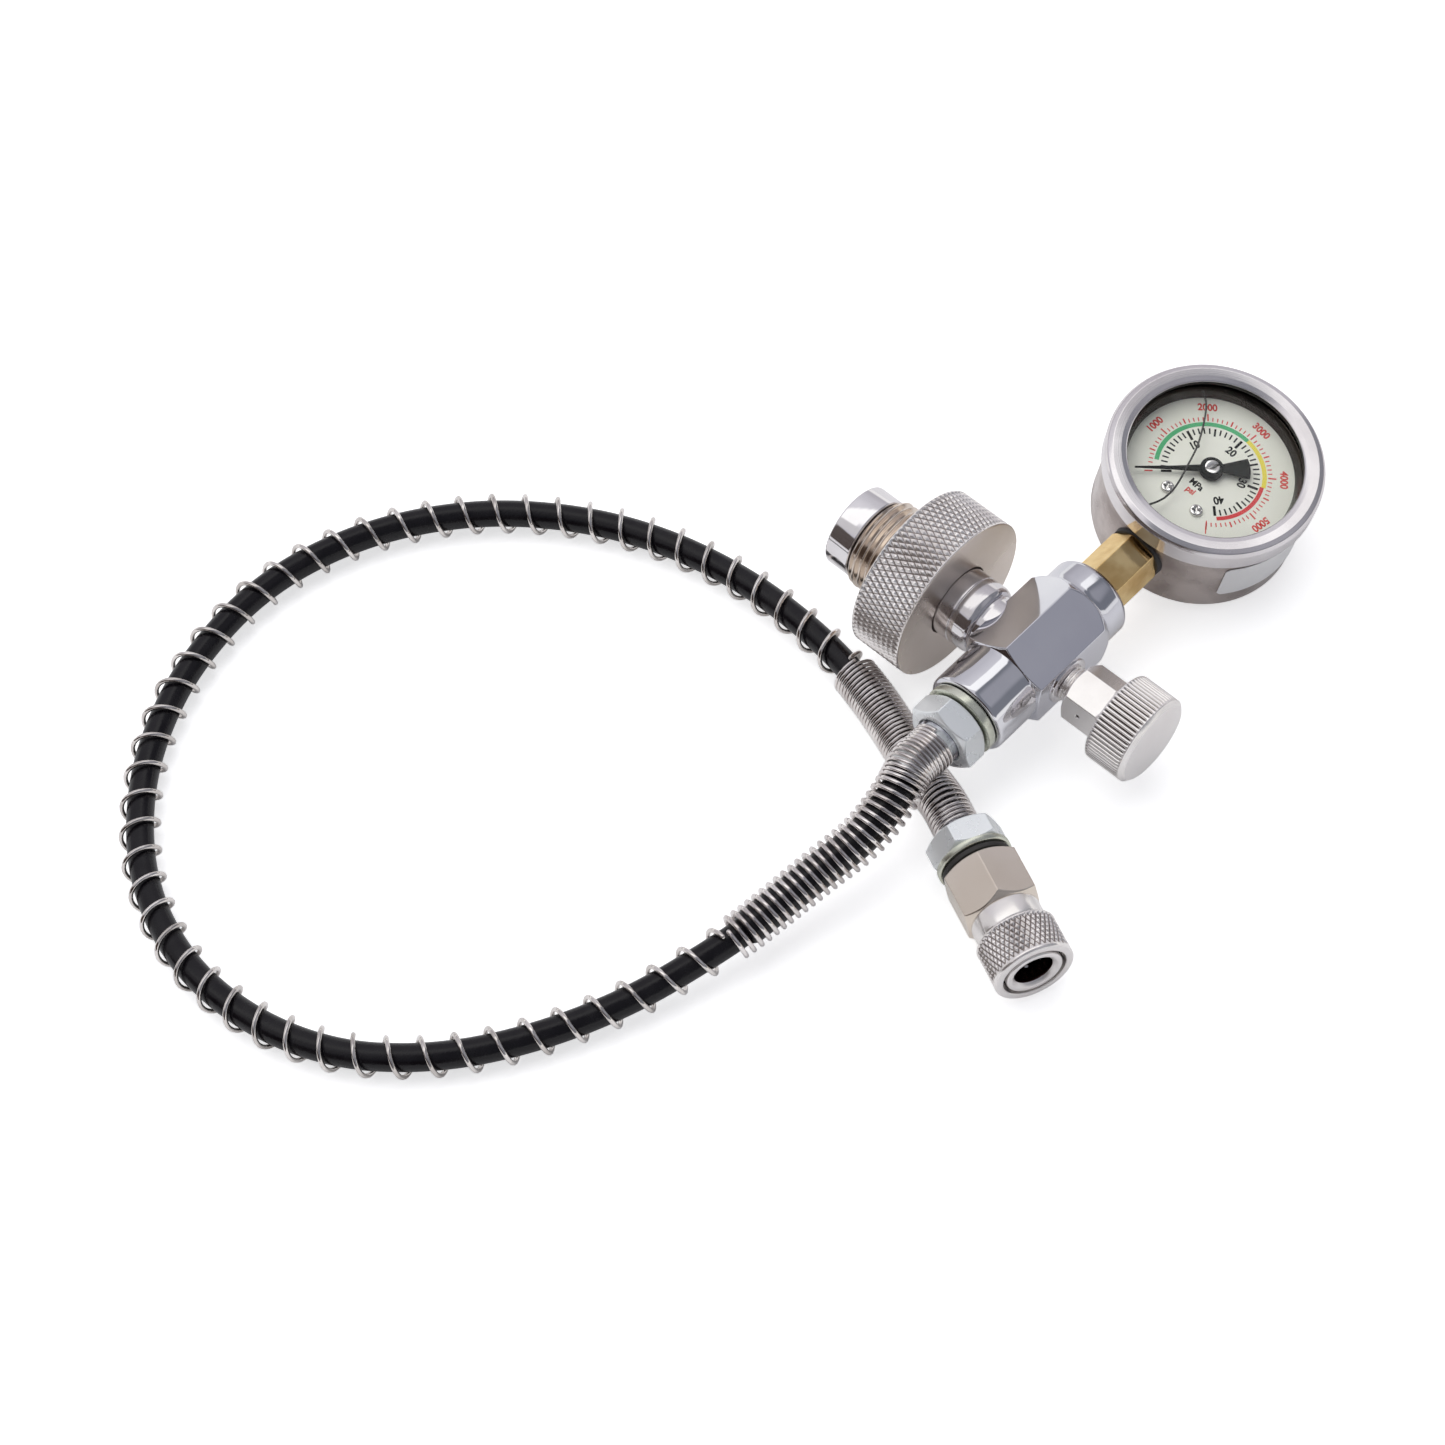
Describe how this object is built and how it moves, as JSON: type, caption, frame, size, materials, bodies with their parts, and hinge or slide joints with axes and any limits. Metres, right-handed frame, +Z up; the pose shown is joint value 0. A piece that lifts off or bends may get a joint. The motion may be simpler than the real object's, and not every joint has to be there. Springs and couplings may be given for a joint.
{
  "type": "high-pressure filling adapter with gauge and hose",
  "caption": "Hex-bar valve block with cylinder handwheel connector, bleed knob, round pressure gauge and a spring-guarded hose ending in a quick coupler.",
  "frame": {"origin": "on the table under the middle of the valve, connector and gauge, measured without the hose and what is on it", "axes": "+Z up; +X from the hose end of the valve towards the gauge; +Y towards the cylinder handwheel, which is lifted 3.2 degrees"},
  "size_m": [0.2696, 0.2178, 0.0421],
  "materials": {
    "chrome": "polished",
    "nickel": "nickel plated, turned and knurled",
    "zinc": "bright zinc plated",
    "brass": "turned, satin",
    "stainless": "polished stainless steel",
    "spring_steel": "bright drawn wire",
    "rubber": "matt black",
    "hose_black": "smooth black jacket",
    "clear_plastic": "clear",
    "dial_paint": "matt white",
    "black_paint": "satin black",
    "label": "blank paper-faced label",
    "seal_plastic": "plain"
  },
  "bodies": {
    "adapter": {"valve_body": "chrome", "connector_nose": "chrome", "nose_face_seal": "rubber", "inlet_filter": "brass", "bleed_housing": "nickel", "bleed_packing": "rubber", "gauge_case": "stainless", "gauge_bezel": "stainless", "lens_gasket": "rubber", "gauge_lens": "clear_plastic", "gauge_dial": "dial_paint", "dial_screw_1": "stainless", "dial_screw_2": "stainless", "gauge_socket": "brass", "stem_gasket": "rubber", "fill_plug": "rubber", "case_label": "label", "movement_front_plate": "brass", "movement_rear_plate": "brass", "movement_post_1": "brass", "movement_post_2": "brass", "bourdon_tube": "brass", "tube_tip": "brass", "bonded_seal_ring": "zinc", "bonded_seal_rubber": "rubber", "hose_nut_body_end": "zinc", "hose_ferrule_body_end": "chrome", "hose": "hose_black", "guard_spring_body_end": "spring_steel", "guard_spring_coupler_end": "spring_steel", "hose_spring": "spring_steel", "hose_nut_coupler_end": "zinc", "coupler_seal": "rubber", "coupler_body": "nickel", "sleeve_spring": "spring_steel", "sleeve_stop_ring": "spring_steel", "bore_o_ring": "rubber", "hose_ferrule_coupler_end": "chrome", "locking_ball_1": "stainless", "locking_ball_2": "stainless", "locking_ball_3": "stainless", "locking_ball_4": "stainless", "locking_ball_5": "stainless", "locking_ball_6": "stainless"},
    "handwheel": {"din_handwheel": "nickel"},
    "bleed_tip": {"bleed_tip_seal": "seal_plastic"},
    "bleed_knob": {"bleed_knob": "nickel", "bleed_spindle": "stainless"},
    "sector": {"sector_gear": "brass", "sector_pivot_pin": "stainless"},
    "needle": {"gauge_needle": "black_paint", "pinion_shaft": "stainless"},
    "sleeve": {"coupler_sleeve": "nickel"}
  },
  "joints": [
    {"name": "handwheel_turn", "type": "hinge", "parent": "adapter", "child": "handwheel", "pos_m": [-0.02457, 0.01967, 0.02107], "axis": [0.0019, 0.9984, 0.0558], "continuous": true},
    {"name": "bleed_lift", "type": "slide", "parent": "adapter", "child": "bleed_tip", "axis": [-0.0019, -0.9984, -0.0558], "range_m": [0, 0.0015]},
    {"name": "bleed_turn", "type": "hinge", "parent": "bleed_tip", "child": "bleed_knob", "pos_m": [-0.02468, -0.03894, 0.01779], "axis": [-0.0019, -0.9984, -0.0558], "range_deg": [0, 540]},
    {"name": "sector_swing", "type": "hinge", "parent": "adapter", "child": "sector", "pos_m": [0.04355, -0.02062, 0.01469], "axis": [0.0325, -0.2113, 0.9769], "range_deg": [0, 54]},
    {"name": "needle_sweep", "type": "hinge", "parent": "adapter", "child": "needle", "pos_m": [0.0373, -0.01068, 0.02523], "axis": [-0.0325, 0.2113, -0.9769], "range_deg": [0, 270]},
    {"name": "sleeve_slide", "type": "slide", "parent": "adapter", "child": "sleeve", "axis": [0.4178, 0.9083, -0.0209], "range_m": [0, 0.003], "stiffness_N_per_m": 900, "springref_m": -0.002, "deforming": ["sleeve_spring"]}
  ],
  "couplings": [
    {"joint": "bleed_turn", "follows": "bleed_lift", "rad_per_m": 6283.2},
    {"joint": "needle_sweep", "follows": "sector_swing", "ratio": 5}
  ]
}
